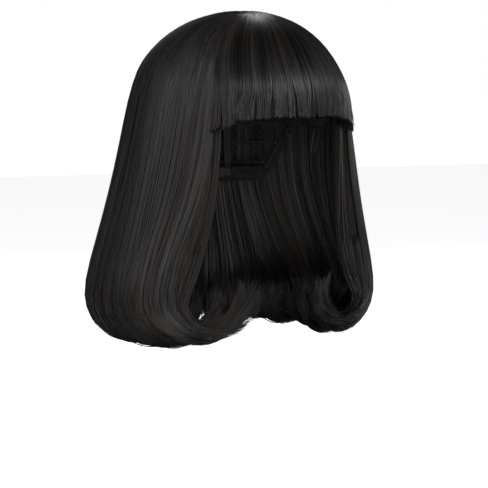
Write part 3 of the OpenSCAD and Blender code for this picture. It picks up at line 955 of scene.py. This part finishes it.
def make_crown_patch():
    """Oval of close-woven lace over the crown."""
    angles = np.arange(0, 360, 6.0)
    peak, rim = CAP_C * 0.999, CAP_C * 0.93
    outer, inner = [], []
    for s in np.linspace(0.04, 1, 12):
        z = peak + (rim - peak) * s**1.6 + 0 * angles
        edge = 0.35 * max(0.0, (s - 0.9) / 0.1)
        outer.append(cap_surface(angles, z, PATCH_OUT - edge))
        inner.append(cap_surface(angles, z, PATCH_IN + edge))
    rings = outer + inner[::-1]
    m, n = len(angles), len(rings)
    faces = [(a, d, c, b) for a, b, c, d in ring_faces(n, m)]
    faces += [tuple(range(m)), tuple((n - 1) * m + j for j in range(m - 1, -1, -1))]
    points = np.concatenate(rings)
    mesh = fill_mesh("crown_patch_lace", points, faces, points[:, :2])
    obj = piece(mesh, PATCH, "cap", "patch", ["crown_patch"])
    turn = np.arange(0, 361, 3.0)
    centre, out = cap_line(turn, CAP_C * 0.938 + 0 * turn, PATCH_OUT)
    seam = stitches("crown_patch_stitches", [stitch_paths(centre, out, 0.0, 1.8, 2.7, 1.2)], slot="patch")


# Name, height, and first and last angle from the face. Those on the crown have a second half behind.
WEFTS = [
    ("weft_crown_1", 62, 1, 179), ("weft_crown_2", 74, 1, 179),
    ("weft_fringe_1", 46, -58, 58), ("weft_fringe_2", 54, -66, 66),
    ("weft_side_left_1", 20, 58, 96), ("weft_side_left_2", 34, 64, 96),
    ("weft_side_right_1", 20, -96, -58), ("weft_side_right_2", 34, -96, -64),
    ("weft_back_1", -46, 122, 238), ("weft_back_2", -26, 116, 244), ("weft_back_3", -6, 110, 250),
    ("weft_back_4", 14, 104, 256), ("weft_back_5", 34, 102, 258),
]


def make_wefts():
    for name, z, first, last in WEFTS:
        tapes, seams = [], []
        for half in (0, 180) if "crown" in name else (0,):
            angles = np.arange(first + half, last + half + 0.1, 1.5)
            centre, out = cap_line(angles, z + 0 * angles, 2.4)
            run = np.arange(len(angles))
            swell = 1 + 0.1 * np.sin(run * 2.4)
            tapes.append(sweep(centre, out, ribbon(3.0, 1.7, 14), np.stack([0 * run + 1, swell], -1)))
            for side in (1, -1):
                face = centre + unit(out) * 0.8 * side
                seams.append(stitch_paths(face, out * side, 0.6 * side, 1.7, 1.9, 1.3))
        piece(loft_mesh(name + "_tape", *tapes), WEFT, "cap", "weft", [name])
        stitches(name + "_stitches", seams, slot="weft", radius=0.17)


def make_ribs():
    for name, angle in (("back_rib_left", 150), ("back_rib_centre", 180), ("back_rib_right", 210)):
        z = np.linspace(10 - NAPE_DROP, 61.5, 60)
        centre, out = cap_line(angle + 0 * z, z, -1.2)
        loops = sweep(centre, out, ribbon(7.0 if angle == 180 else 6.6, 1.0, 40, ribs=6))
        piece(loft_mesh(name + "_elastic", loops), ELASTIC, "cap", "elastic", [name])
        stitches(
            name + "_stitches",
            [stitch_paths(centre - unit(out) * 0.45, -out, at, 1.9, 2.9) for at in (-2.4, 2.4)],
            slot="elastic", radius=0.18,
        )


# The fastening lies on a circle behind the nape. The spans are degrees from straight back.
NAPE_Y, STRAP_R, STRAP_Z = 18.0, 58.0, -55.0
STRAP_SPAN, CASING_SPAN, LOOPS_SPAN = (18.1, 47.9), (34.1, 63.9), (5, 27)
LOOPS_R, LOOPS_RAIL, LOOPS_BAR = STRAP_R + 3.0, 4.7, 1.2  # radius, rail's height, bar's width


def nape_line(first, last, radius, side, step=0.75):
    """Centres round the nape circle, angles in degrees from straight back towards one side."""
    angles = np.radians(np.linspace(first, last, max(3, int(abs(last - first) / step) + 1))) * side
    out = np.stack([np.sin(angles), np.cos(angles), 0 * angles], -1)
    return out * radius + np.array([0, NAPE_Y, STRAP_Z]), out


def make_straps():
    for side, way in (("left", 1), ("right", -1)):
        centre, out = nape_line(*STRAP_SPAN, STRAP_R, way)
        mesh = loft_mesh(f"strap_{side}_elastic", sweep(centre, out, ribbon(7.9, 1.15, 44, ribs=7)))
        piece(mesh, ELASTIC, f"strap_{side}", "elastic", [f"strap_{side}"])
        centre, out = nape_line(*CASING_SPAN, STRAP_R, way)
        t = 2 * math.pi * np.arange(28) / 28
        c, s = np.cos(t), np.sin(t)
        around = np.stack([np.sign(c) * np.abs(c) ** 0.45, np.sign(s) * np.abs(s) ** 0.45], -1)
        outer = sweep(centre, out, around * [5.5, 2.05])
        inner = sweep(centre, out, around * [4.6, 1.2])
        piece(sleeve_mesh(f"casing_{side}_cloth", outer, inner), BAND, "cap", "band", [f"casing_{side}"])
        rows = [
            stitch_paths(centre + unit(out) * 2.05 * face, out * face, at, 1.9, 2.8)
            for face in (1, -1) for at in (-4.0, 4.0)
        ]
        stitches(f"casing_{side}_stitches", rows, radius=0.18)
        parts = []
        for at in (LOOPS_RAIL, -LOOPS_RAIL):
            rail, off = nape_line(LOOPS_SPAN[0] + 0.1, LOOPS_SPAN[1] - 0.1, LOOPS_R, way)
            parts.append(sweep(rail + np.array([0, 0, at]), off, ribbon(1.4, 0.8, 12)))
        pitch = (LOOPS_SPAN[1] - LOOPS_SPAN[0] - LOOPS_BAR) / 3
        for i in range(4):
            a = math.radians(LOOPS_SPAN[0] + LOOPS_BAR / 2 + i * pitch) * way
            off = np.array([math.sin(a), math.cos(a), 0])
            z = np.linspace(-4.9, 4.9, 12)
            line = off * LOOPS_R + np.array([0, NAPE_Y, STRAP_Z]) + z[:, None] * np.array([0, 0, 1.0])
            parts.append(sweep(line, off + 0 * line, ribbon(LOOPS_BAR, 0.8, 12)))
        mesh = loft_mesh(f"loop_strip_{side}_elastic", *parts)
        piece(mesh, ELASTIC, "cap", "elastic", [f"loop_strip_{side}"])


def sleeve_mesh(name, outer, inner):
    """Cloth tube: an outer and an inner skin joined at both ends."""
    n, m = outer.shape[:2]
    points = np.concatenate([outer.reshape(-1, 3), inner.reshape(-1, 3)])
    k = n * m
    faces = []
    for i in range(n - 1):
        for j in range(m):
            a, b, c, d = i * m + j, i * m + (j + 1) % m, (i + 1) * m + (j + 1) % m, (i + 1) * m + j
            faces += [(a, b, c, d), (k + d, k + c, k + b, k + a)]
    for i in (0, n - 1):
        for j in range(m):
            a, b = i * m + j, i * m + (j + 1) % m
            faces.append((k + a, k + b, b, a) if i == 0 else (a, b, k + b, k + a))
    along = run_length(outer.mean(1))
    uv = np.stack(np.broadcast_arrays(along[:, None], np.arange(m)[None, :] * 0.9), -1).reshape(-1, 2)
    return fill_mesh(name, points, faces, np.concatenate([uv, uv]))


TAB_TOP, TAB_FOOT, TAB_ANGLE, TAB_HALF, TAB_HALF_FOOT = -8.8, -37.9, 80, 8.0, 4.0


def make_ear_tabs():
    for side, way in (("left", 1), ("right", -1)):
        body = f"ear_tab_{side}"
        s = np.linspace(0, 1, 34)
        z = mix(TAB_TOP, TAB_FOOT, s)
        centre, out = cap_line(TAB_ANGLE * way + 0 * s, z, 0.6)
        half = mix(TAB_HALF, TAB_HALF_FOOT, s**2)
        edges = cap_surface(TAB_ANGLE + half, z, 0.6), cap_surface(TAB_ANGLE - half, z, 0.6)
        width = np.linalg.norm(edges[0] - edges[1], axis=-1)
        width = width * np.sqrt(np.clip(1 - np.clip((s - 0.86) / 0.14, 0, 1) ** 2, 0.01, 1))
        thick = 1.2 * np.clip(np.sqrt(np.clip(1 - ((s - 0.5) / 0.5) ** 8, 0.05, 1)), 0.3, 1)
        loops = sweep(centre, out, ribbon(1.0, 1.0, 32), np.stack([width * 0.99, thick], -1))
        piece(loft_mesh(f"{body}_cloth", loops), BAND, body, "band", [body])
        across = unit(np.cross(unit(out), unit(np.gradient(centre, axis=0))))
        seam = slice(0, -5)  # the stitches stop short of the rounded foot
        rows = []
        for at in (-0.36, 0.36):
            inset = centre[seam] + across[seam] * (width[seam] * at)[:, None]
            for face in (1, -1):
                rows.append(stitch_paths(inset + unit(out[seam]) * 0.5 * face, out[seam] * face, 0, 1.8, 2.7))
        stitches(f"{body}_stitches", rows, body=body, radius=0.18)


def paint_nodes():
    for side in ("left", "right"):
        for node, material in ((f"hook_{side}", PLASTIC), (f"ear_stay_{side}", STEEL)):
            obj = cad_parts[node]
            obj = bpy.data.objects[obj] if isinstance(obj, str) else obj
            obj.data.materials.clear()
            obj.data.materials.append(material)


# ---------- camera, light and floor

VIEW_AZIMUTH, VIEW_ELEVATION = -33, 5
VIEW_DISTANCE = 1.6
VIEW_LENS = 122.8
AIM_DOWN, AIM_RIGHT = 0.1212, 0.0038
LIGHT_AIM = Vector((0, 0, -0.05))
FLOOR_HALF, FLOOR_Z = 6.0, -0.36


def outward(azimuth, elevation):
    """Direction in which something stands that looks at the wig from these angles, in degrees."""
    a, e = math.radians(azimuth), math.radians(elevation)
    return Vector((math.sin(a) * math.cos(e), -math.cos(a) * math.cos(e), math.sin(e)))


def make_camera():
    data = bpy.data.cameras.new("camera")
    data.lens = VIEW_LENS
    data.sensor_width = 36
    cam = bpy.data.objects.new("camera", data)
    bpy.context.scene.collection.objects.link(cam)
    back = outward(VIEW_AZIMUTH, VIEW_ELEVATION)
    a = math.radians(VIEW_AZIMUTH)
    right = Vector((math.cos(a), math.sin(a), 0))
    up = right.cross(-back)
    cam.location = right * AIM_RIGHT - up * AIM_DOWN + back * VIEW_DISTANCE
    cam.rotation_mode = "QUATERNION"
    cam.rotation_quaternion = (-back).to_track_quat("-Z", "Y")
    bpy.context.scene.camera = cam


def area_light(name, azimuth, elevation, distance, size, power, colour=(1, 1, 1)):
    data = bpy.data.lights.new(name, "AREA")
    data.shape = "RECTANGLE"
    data.size, data.size_y = size
    data.energy = power
    data.color = colour
    light = bpy.data.objects.new(name, data)
    bpy.context.scene.collection.objects.link(light)
    back = outward(azimuth, elevation)
    light.location = LIGHT_AIM + back * distance
    light.rotation_mode = "QUATERNION"
    light.rotation_quaternion = back.to_track_quat("Z", "Y")


def make_stage():
    world = bpy.data.worlds.new("studio")
    bpy.context.scene.world = world
    world.use_nodes = True
    nodes, links = world.node_tree.nodes, world.node_tree.links
    nodes["Background"].inputs["Color"].default_value = (0.94, 0.95, 0.96, 1)
    nodes["Background"].inputs["Strength"].default_value = 0.1
    plain = nodes.new("ShaderNodeBackground")
    plain.inputs["Color"].default_value = (1, 1, 1, 1)
    blend = nodes.new("ShaderNodeMixShader")
    ray = nodes.new("ShaderNodeLightPath")
    links.new(ray.outputs["Is Camera Ray"], blend.inputs["Fac"])
    links.new(nodes["Background"].outputs[0], blend.inputs[1])
    links.new(plain.outputs[0], blend.inputs[2])
    links.new(blend.outputs[0], nodes["World Output"].inputs["Surface"])
    mesh = bpy.data.meshes.new("floor")
    r, z = FLOOR_HALF, FLOOR_Z
    mesh.from_pydata([(-r, -r, z), (r, -r, z), (r, r, z), (-r, r, z)], [], [(0, 1, 2, 3)])
    floor = add_object(mesh)
    mat = Material("pale_floor", 0.9, 0.1)
    mat.colour(mat.noise(3.0), [(0.3, (0.86, 0.86, 0.86)), (0.7, (0.9, 0.9, 0.9))])
    mat.fill(mat.shader, {"Emission Color": (1, 1, 1, 1), "Emission Strength": 0.85})
    mesh.materials.append(mat.data)
    floor.visible_diffuse = floor.visible_glossy = False
    bpy.context.scene.view_settings.view_transform = "Standard"
    area_light("key", -6, 39, 1.6, (1.5, 0.36), 12, (0.86, 0.94, 1.0))
    area_light("front", -28, 7, 1.9, (1.7, 1.7), 21, (1.0, 0.965, 0.94))
    area_light("fill_right", 55, 10, 1.8, (0.6, 1.2), 13)
    area_light("fill_left", -82, 18, 1.8, (0.4, 1.2), 7)
    area_light("rim", 165, 40, 1.8, (1.4, 0.6), 9)
    area_light("bounce", -15, -30, 1.5, (1.3, 0.8), 13, (1.0, 0.97, 0.94))


make_camera()
make_stage()
make_hair()
make_crown_core()
make_bindings()
make_net()
make_crown_patch()
make_wefts()
make_ribs()
make_straps()
make_ear_tabs()
paint_nodes()
